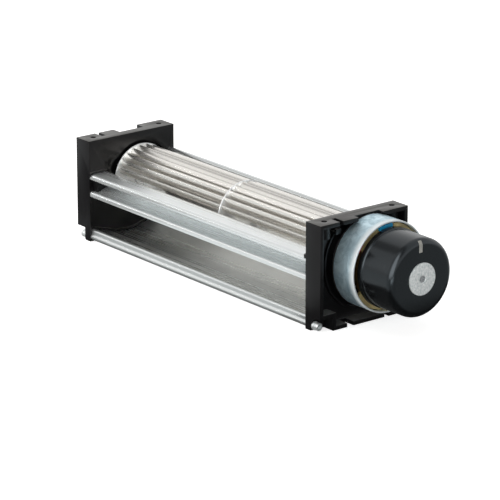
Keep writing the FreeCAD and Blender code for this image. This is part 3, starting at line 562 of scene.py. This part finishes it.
def soften_edges(shape, width, least_angle=50.0):
    """Rounds the sharp edges of a shape."""
    bmesh.ops.recalc_face_normals(shape, faces=shape.faces)
    limit = math.radians(least_angle)
    sharp = [edge for edge in shape.edges
             if len(edge.link_faces) == 2 and edge.calc_face_angle(0.0) > limit]
    bmesh.ops.bevel(shape, geom=sharp, offset=width, offset_type="OFFSET", segments=2,
                    profile=0.5, affect="EDGES", clamp_overlap=True)
    return shape


def turned_shape(profile, steps):
    """A solid turned about the impeller's axis, from a closed outline of (x, radius) points."""
    shape = bmesh.new()
    angles = [2 * math.pi * step / steps for step in range(steps)]
    rings = [[shape.verts.new((x, axis.y + radius * math.cos(angle),
                               axis.z + radius * math.sin(angle))) for angle in angles]
             for x, radius in profile]
    for first, second in zip(rings, rings[1:] + rings[:1]):
        join_loops(shape, first, second)
    return shape


def refined_node(node, name, finish, body, edge):
    """A CAD solid's own shape as clean faces with softened edges, standing for its node."""
    shape = bmesh.new()
    shape.from_mesh(frame["nodes"][node].data)
    bmesh.ops.remove_doubles(shape, verts=shape.verts, dist=2e-6)
    bmesh.ops.dissolve_limit(shape, angle_limit=math.radians(0.6), verts=shape.verts,
                             edges=shape.edges)
    soften_edges(shape, edge, least_angle=28.0)
    return new_piece(name, shape, finish, body, replaced=(node,), smooth_under=32.0)


def dress_nodes(**finish_names):
    """Gives carried-over CAD solids their finishes."""
    for node, finish in finish_names.items():
        materials = frame["nodes"][node].data.materials
        materials.clear()
        materials.append(finishes[finish])


# Folded sheets

def scroll_line(sizes):
    """Centre line of the duct sheet: front hem, rail, ramp, scroll, rear wall and rear hem."""
    half = sizes.thickness / 2
    hem, bend = sizes.hem_radius - half, sizes.bend_radius
    hem_y, hem_z = sheet_low.y + sizes.hem_radius, sizes.front_hem_height
    turn = math.acos(1.0 - sizes.rail_set_back / (hem + bend))
    joggle_z = hem_z + (hem + bend) * math.sin(turn)
    rail_y, wall_y = sheet_low.y + half + sizes.rail_set_back, sheet_high.y - half
    rail_top = sizes.rail_height - half
    rear_z = sheet_high.z - sizes.hem_radius
    foot_z = rail_top - (wall_y - rail_y) * math.tan(sizes.ramp_angle)
    front = arc_points((hem_y, hem_z), hem, math.pi + sizes.front_wrap,
                       -sizes.front_wrap - turn, steps=28)
    joggle = arc_points((rail_y - bend, joggle_z), bend, -turn, turn, steps=6)
    corners = [(rail_y, joggle_z), (rail_y, rail_top), (wall_y, foot_z), (wall_y, rear_z)]
    middle = round_corners(corners, [0.0, bend, sizes.scroll_radius, 0.0], steps=40)
    rear = arc_points((wall_y - hem, rear_z), hem, 0.0, sizes.rear_wrap, steps=26)
    return thin_out(front + joggle + middle + rear)


def stabiliser_line(sizes):
    """Centre line of the stabiliser channel from its lower lip round to its upper one."""
    half, bend = sizes.thickness / 2, sizes.bend_radius
    lip, nose_bend = 2.4 * MM, 1.0 * MM
    front, nose = stabiliser_low.y + half, stabiliser_high.y - half
    low, high = stabiliser_low.z, stabiliser_high.z
    lower, upper = low + lip - half, high - half
    corners = [(front, low), (front, lower), (front + 2.5 * MM, lower),
               (nose, lower + 3.1 * MM), (nose, upper - 2.35 * MM),
               (front + 8.4 * MM, upper), (front, upper), (front, high - lip)]
    radii = [0.0, bend, 2.0 * MM, nose_bend, nose_bend, 2.0 * MM, bend, 0.0]
    return thin_out(round_corners(corners, radii))


class FAN_OT_folded_sheets(bpy.types.Operator):
    """Make the duct sheet with its rolled hems and the stabiliser channel"""
    bl_idname = "fan.folded_sheets"
    bl_label = "Folded sheets"

    def execute(self, context):
        sizes = context.scene.fan_sheet_sizes
        stations = even_stations(sheet_low.x, sheet_high.x, 24)
        for name, line, node, finish in (
                ("duct_sheet", scroll_line(sizes), "scroll_sheet", "duct_zinc"),
                ("stabiliser", stabiliser_line(sizes), "stabiliser_sheet", "galvanised")):
            shape = soften_edges(sheet_shape(line, sizes.thickness, stations), sizes.cut_edge)
            new_piece(name, shape, finish, "housing", replaced=(node,))
        return {"FINISHED"}


class FAN_OT_end_plates(bpy.types.Operator):
    """Finish the two moulded end plates with softened edges"""
    bl_idname = "fan.end_plates"
    bl_label = "End plates"

    def execute(self, context):
        for node, name in (("left_end_plate", "left_plate"), ("right_end_plate", "right_plate")):
            refined_node(node, name, "black_plastic", "housing", edge=0.16 * MM)
        return {"FINISHED"}


class FAN_OT_hem_screws(bpy.types.Operator):
    """Finish the two screws that hold the rolled front hem"""
    bl_idname = "fan.hem_screws"
    bl_label = "Hem screws"

    def execute(self, context):
        refined_node("hem_screws", "hem_screw_pair", "zinc_screw", "housing", edge=0.07 * MM)
        return {"FINISHED"}


# Impeller

def blade_curve(sizes):
    """Centre line of one blade in (y, z) about the axis: radial inside, swept outside."""
    inner, outer = sizes.blade_inner, sizes.blade_outer
    radius = (outer ** 2 - inner ** 2) / (2 * outer * math.cos(sizes.blade_angle))
    reach = math.hypot(inner, radius)

    def angle_at(distance):
        return math.acos((distance ** 2 - reach ** 2 - radius ** 2) / (2 * reach * radius))

    start = angle_at(inner)
    return arc_points((reach, 0.0), radius, start, angle_at(outer) - start, steps=14)


def turned_about_axis(points, angle):
    cos, sin = math.cos(angle), math.sin(angle)
    return [(axis.y + y * cos - z * sin, axis.z + y * sin + z * cos) for y, z in points]


class FAN_OT_impeller(bpy.types.Operator):
    """Make the impeller's blades, its end discs and its slotted middle disc"""
    bl_idname = "fan.impeller"
    bl_label = "Impeller"

    def execute(self, context):
        sizes = context.scene.fan_impeller_sizes
        axle_hole, bush_hole = 1.5 * MM, 1.6 * MM
        self.make_blades(sizes)
        self.make_disc("idle_end_disc", "idle_disc", idle_low.x, idle_high.x, axle_hole, sizes)
        self.make_disc("drive_end_disc", "drive_disc", drive_low.x, drive_high.x, bush_hole, sizes)
        refined_node("mid_disc", "middle_disc", "disc_metal", "rotor", edge=0.05 * MM)
        return {"FINISHED"}

    def make_blades(self, sizes):
        draw = random.Random(24)
        curve = blade_curve(sizes)
        stations = even_stations(blades_low.x, blades_high.x, 16)
        whole = bmesh.new()
        for index in range(sizes.blades):
            angle = sizes.blade_phase + 2 * math.pi * index / sizes.blades
            line = turned_about_axis(curve, angle)
            bow = [draw.uniform(-1.0, 1.0) * sizes.unevenness for _ in range(2)]

            def shift(x, y, z, bow=bow):
                """A slight bow over each half, nothing at the three discs."""
                along = (x - blades_low.x) / (blades_high.x - blades_low.x) * 2
                amount = bow[0 if along < 1.0 else 1] * math.sin(math.pi * (along % 1.0)) ** 2
                distance = math.hypot(y - axis.y, z - axis.z)
                return -(z - axis.z) / distance * amount, (y - axis.y) / distance * amount

            blade = soften_edges(sheet_shape(line, sizes.blade_thickness, stations, shift),
                                 sizes.blade_thickness * 0.3)
            part = bpy.data.meshes.new("blade")
            blade.to_mesh(part)
            blade.free()
            whole.from_mesh(part)
            bpy.data.meshes.remove(part)
        new_piece("blades", whole, "blade_metal", "rotor", replaced=("impeller_blades",))

    def make_disc(self, name, node, x_from, x_to, hole, sizes):
        rim = (idle_high.z - idle_low.z) / 2
        corners = [(x_from, hole), (x_from, rim), (x_to, rim), (x_to, hole)]
        profile = round_corners(corners, [0.0, sizes.rim_edge, sizes.rim_edge, 0.0], steps=4)
        new_piece(name, turned_shape(profile, steps=160), "disc_metal", "rotor",
                  replaced=(node,))


# Motor

class FAN_OT_motor_frame(bpy.types.Operator):
    """Make the motor ring and finish the flange, the board and what is on it"""
    bl_idname = "fan.motor_frame"
    bl_label = "Motor frame"

    def execute(self, context):
        sizes = context.scene.fan_motor_sizes
        outer = (ring_high.z - ring_low.z) / 2
        inner = outer - sizes.ring_wall
        edge = 0.25 * MM
        corners = [(ring_low.x, inner), (ring_low.x, outer),
                   (ring_high.x, outer), (ring_high.x, inner)]
        profile = round_corners(corners, [edge] * 4, steps=5)
        new_piece("zinc_ring", turned_shape(profile, steps=160), "ring_zinc", "housing",
                  replaced=("motor_ring",))
        dress_nodes(motor_flange="flange_metal", flange_screws="zinc_screw",
                    motor_bearings="steel", circuit_board="board", board_components="chip_black",
                    stator_core="lamination", stator_insulators="insulator",
                    stator_coils="copper", blue_capacitor="blue_coat", tan_capacitor="tan_coat",
                    red_lead="red_insulation")
        return {"FINISHED"}


def cup_profile(sizes):
    """(x, radius) points of the cup, from the mouth's inner edge out, forward and back inside."""
    band = (cup_high.z - cup_low.z) / 2
    side = band - sizes.cup_band_step
    wall, neck = 1.0 * MM, 5.0 * MM
    face = cup_high.x
    inner_face = face - 1.2 * MM
    band_end = cup_low.x + sizes.cup_band_length
    corners = [(cup_low.x, side - wall), (cup_low.x, band), (band_end, band),
               (band_end + sizes.cup_band_step, side), (face, side), (face, neck),
               (inner_face, neck), (inner_face, side - wall)]
    radii = [0.0, 0.4 * MM, 0.12 * MM, 0.3 * MM, sizes.cup_edge, 0.0, 0.0, sizes.cup_edge - wall]
    return round_corners(corners, radii, steps=12)


class FAN_OT_rotor(bpy.types.Operator):
    """Make the rotor cup with its index mark and the blasted hub, and finish what turns inside"""
    bl_idname = "fan.rotor"
    bl_label = "Rotor"

    def execute(self, context):
        sizes = context.scene.fan_motor_sizes
        new_piece("cup", turned_shape(cup_profile(sizes), steps=192), "cup_black", "rotor",
                  replaced=("rotor_cup",))
        self.make_mark(sizes)
        refined_node("rotor_hub", "hub", "blasted_hub", "rotor", edge=0.08 * MM)
        dress_nodes(motor_shaft="steel", shaft_clip="steel", thrust_washers="steel",
                    drive_bush="steel", grub_screw="steel", stub_axle="steel",
                    rotor_magnet="magnet")
        return {"FINISHED"}

    def make_mark(self, sizes):
        """Thin coat of paint that follows the cup's face and its rounded edge."""
        paint = 0.03 * MM
        left_share = 0.92
        edge = sizes.cup_edge
        flat = (cup_high.z - cup_low.z) / 2 - sizes.cup_band_step - edge
        across = [sizes.mark_width * (step / 4 - left_share) for step in range(5)]
        along = even_stations(sizes.mark_inner, sizes.mark_outer, 14)

        def on_cup(side, height, lift):
            """The cup's surface above one place of its face, raised along its normal."""
            radius = math.hypot(side, height)
            tilt = math.asin(max(0.0, min(1.0, (radius - flat) / edge)))
            x = cup_high.x - edge * (1.0 - math.cos(tilt)) + lift * math.cos(tilt)
            out = 1.0 + lift * math.sin(tilt) / radius
            return x, axis.y + side * out, axis.z + height * out

        shape = bmesh.new()
        skins = [[[shape.verts.new(on_cup(side, height, lift)) for side in across]
                  for height in along] for lift in (paint, -paint)]
        for skin in skins:
            for row, above in zip(skin, skin[1:]):
                for column in range(len(across) - 1):
                    shape.faces.new((row[column], row[column + 1],
                                     above[column + 1], above[column]))
        outer_rim, inner_rim = (
            skin[0] + [row[-1] for row in skin[1:]] + skin[-1][-2::-1]
            + [row[0] for row in skin[-2:0:-1]] for skin in skins)
        join_loops(shape, outer_rim, inner_rim)
        new_piece("index_mark", shape, "index_paint", "rotor")


class FAN_OT_idle_bearing(bpy.types.Operator):
    """Finish the idle end's bearing, its rubber seat and its cap"""
    bl_idname = "fan.idle_bearing"
    bl_label = "Idle bearing"

    def execute(self, context):
        refined_node("bearing_cap", "idle_cap", "black_plastic", "housing", edge=0.1 * MM)
        dress_nodes(bearing_rubber="rubber", idle_bearing="bronze")
        return {"FINISHED"}


# Stage

class FAN_OT_stage(bpy.types.Operator):
    """Set up the pale floor, the soft lights and the camera"""
    bl_idname = "fan.stage"
    bl_label = "Stage"

    def execute(self, context):
        scene = context.scene
        scene.view_settings.view_transform = "Standard"
        self.make_world(scene)
        self.make_floor(scene)
        self.make_lights(scene)
        self.make_camera(scene)
        return {"FINISHED"}

    def make_world(self, scene):
        """White for the camera and an even room for diffuse light.

        Reflections show a room that is lighter behind the fan than before it, dim at the horizon
        and overhead, with a dark beam above the front and a bright window before it on the right.
        """
        world = bpy.data.worlds.new("pale_room")
        scene.world = world
        world.use_nodes = True
        nodes = Nodes(world.node_tree)
        nodes.tree.nodes.remove(nodes.tree.nodes["Background"])

        def background(strength):
            return nodes.node("ShaderNodeBackground", Color=WHITE, Strength=strength).outputs[0]

        path = nodes.node("ShaderNodeLightPath")
        direction = nodes.node("ShaderNodeTexCoord").outputs["Generated"]
        x, y, z = nodes.coordinates(direction)
        room = nodes.product(nodes.eased(y, 0.88, 1.02, -0.2, 0.5),
                             nodes.eased(z, 0.70, 1.0, 0.02, 0.16),
                             nodes.eased(z, 1.0, 0.85, 0.35, 0.6))
        beam = nodes.product(nodes.eased(y, 0.0, 1.0, -0.38, -0.28),
                             nodes.eased(y, 1.0, 0.0, -0.10, 0.06),
                             nodes.eased(z, 0.0, 0.6, 0.50, 0.58))
        window = nodes.product(nodes.eased(x, 0.0, 2.6, -0.05, 0.2),
                               nodes.eased(y, 1.0, 0.0, -0.50, -0.35))
        room = nodes.product(room, nodes.calculated("SUBTRACT", 1.0, beam))
        mirrored = background(nodes.calculated("ADD", room, window))
        lit = nodes.mix_shaders(path.outputs["Is Glossy Ray"], background(0.32), mirrored)
        out = nodes.mix_shaders(path.outputs["Is Camera Ray"], lit, background(1.0))
        nodes.fill(nodes.tree.nodes["World Output"].inputs["Surface"], out)

    def make_floor(self, scene):
        """Pale floor with a glow that keeps it white, and with its own look in reflections."""
        shape = bmesh.new()
        bmesh.ops.create_grid(shape, x_segments=8, y_segments=8, size=3.0)
        mesh = bpy.data.meshes.new("floor")
        shape.to_mesh(mesh)
        shape.free()
        floor = bpy.data.objects.new("floor", mesh)
        floor.location.z = -0.1 * MM
        scene.collection.objects.link(floor)
        finish = Finish("pale_floor")
        finish.set(Base_Color=(scene.fan_colours.floor,) * 3 + (1.0,), Roughness=0.9,
                   Specular_IOR_Level=0.1)
        path = finish.node("ShaderNodeLightPath")
        glow = finish.node("ShaderNodeEmission",
                           Strength=finish.product(path.outputs["Is Camera Ray"], 0.75))
        seen = finish.fill_in_order(finish.node("ShaderNodeAddShader"), finish.shader.outputs[0],
                                    glow.outputs[0])
        mirrored = finish.node("ShaderNodeEmission", Color=(0.95, 1.0, 1.01, 1.0),
                               Strength=self.mirrored_floor(finish))
        out = finish.mix_shaders(path.outputs["Is Glossy Ray"], seen.outputs[0],
                                 mirrored.outputs[0])
        finish.fill(finish.tree.nodes["Material Output"].inputs["Surface"], out)
        mesh.materials.append(finish.material)

    def mirrored_floor(self, nodes):
        """How light the floor is in reflections: pale, dim to the right, with the fan's shadow
        painted in.
        """
        place = nodes.node("ShaderNodeTexCoord").outputs["Object"]
        x, y, _ = nodes.coordinates(place)
        # Painted shade: a dim spot that darkens what the far plate's front rims reflect.
        left_spot = nodes.eased(nodes.distance(place, (-0.175, -0.08, 0.0)), 0.15, 1.0, 0.06, 0.10)
        # Painted highlight: a glowing patch that the cup's rounded edge reflects as a light streak.
        painted_glow_patch = nodes.eased(nodes.distance(place, (0.28, -0.12, 0.0)), 3.4, 0.0, 0.04, 0.12)
        dimming = nodes.eased(x, 0.70, 0.36, 0.10, 0.16)
        beside = nodes.product(nodes.eased(x, 0.0, 1.0, -0.130, -0.100),
                               nodes.eased(x, 1.0, 0.0, 0.120, 0.150))
        motor_reach = nodes.eased(x, 0.0, 0.024, 0.040, 0.060)
        front = nodes.calculated("ADD", y, motor_reach)
        beneath = nodes.product(nodes.eased(front, 0.0, 1.0, -0.042, -0.022),
                                nodes.eased(y, 1.0, 0.0, 0.06, 0.09))
        shadow = nodes.product(nodes.product(beside, beneath), 0.93)
        level = nodes.product(left_spot, dimming, nodes.calculated("SUBTRACT", 1.0, shadow))
        return nodes.calculated("ADD", level, painted_glow_patch)

    def make_lights(self, scene):
        """Three softboxes for diffuse light. Reflections show the world and the floor alone."""
        centre = Vector((0.0, 0.0, 0.03))
        for name, place, size, radiance in (
                ("top_softbox", (-0.15, -0.15, 1.10), (1.3, 1.0), 0.8),
                ("front_softbox", (0.35, -1.25, 0.50), (1.6, 0.8), 1.8),
                ("left_softbox", (-1.00, -0.62, 0.20), (0.7, 0.38), 19.0)):
            data = bpy.data.lights.new(name, "AREA")
            data.shape = "RECTANGLE"
            data.size, data.size_y = size
            data.energy = radiance * math.pi * size[0] * size[1]
            data.color = (1.0, 0.985, 0.955)
            lamp = bpy.data.objects.new(name, data)
            lamp.location = place
            lamp.rotation_mode = "QUATERNION"
            lamp.rotation_quaternion = (centre - Vector(place)).to_track_quat("-Z", "Y")
            lamp.visible_glossy = False
            scene.collection.objects.link(lamp)

    def make_camera(self, scene):
        """The photo's view, placed from the duct's middle, the plates' front and the base."""
        turn, rise = math.radians(51.358), math.radians(17.895)
        data = bpy.data.cameras.new("camera")
        data.sensor_width = 36.0
        data.lens = 236.03
        data.clip_start, data.clip_end = 0.05, 20.0
        camera = bpy.data.objects.new("camera", data)
        ahead = Vector((-math.sin(turn) * math.cos(rise), math.cos(turn) * math.cos(rise),
                        -math.sin(rise)))
        camera.location = (middle_x + 1096.26 * MM, front_y - 844.32 * MM, 462.31 * MM)
        camera.rotation_mode = "QUATERNION"
        camera.rotation_quaternion = ahead.to_track_quat("-Z", "Y")
        scene.collection.objects.link(camera)
        scene.camera = camera


class FAN_PT_panel(bpy.types.Panel):
    """Lists the fan's pieces, sizes and colours"""
    bl_idname = "FAN_PT_panel"
    bl_label = "Cross flow fan"
    bl_space_type = "VIEW_3D"
    bl_region_type = "UI"
    bl_category = "Fan"

    def draw(self, context):
        for operator in piece_operators:
            self.layout.operator(operator.bl_idname)
        for group in size_groups:
            box = self.layout.box()
            values = getattr(context.scene, group)
            for key in values.__annotations__:
                box.prop(values, key)


piece_operators = (FAN_OT_stage, FAN_OT_end_plates, FAN_OT_folded_sheets, FAN_OT_hem_screws,
                   FAN_OT_impeller, FAN_OT_motor_frame, FAN_OT_rotor, FAN_OT_idle_bearing)
size_groups = {"fan_sheet_sizes": FanSheetSizes, "fan_impeller_sizes": FanImpellerSizes,
               "fan_motor_sizes": FanMotorSizes, "fan_colours": FanColours}


def register():
    for group in size_groups.values():
        bpy.utils.register_class(group)
    for cls in piece_operators + (FAN_PT_panel,):
        bpy.utils.register_class(cls)
    for name, group in size_groups.items():
        setattr(bpy.types.Scene, name, PointerProperty(type=group))


def unregister():
    for name in size_groups:
        delattr(bpy.types.Scene, name)
    for cls in (FAN_PT_panel,) + piece_operators[::-1]:
        bpy.utils.unregister_class(cls)
    for group in size_groups.values():
        bpy.utils.unregister_class(group)


def main():
    register()
    finishes.update(make_finishes(bpy.context.scene.fan_colours))
    bpy.ops.fan.stage()
    bpy.ops.fan.end_plates()
    bpy.ops.fan.folded_sheets()
    bpy.ops.fan.hem_screws()
    bpy.ops.fan.impeller()
    bpy.ops.fan.motor_frame()
    bpy.ops.fan.rotor()
    bpy.ops.fan.idle_bearing()


if __name__ == "__main__":
    main()
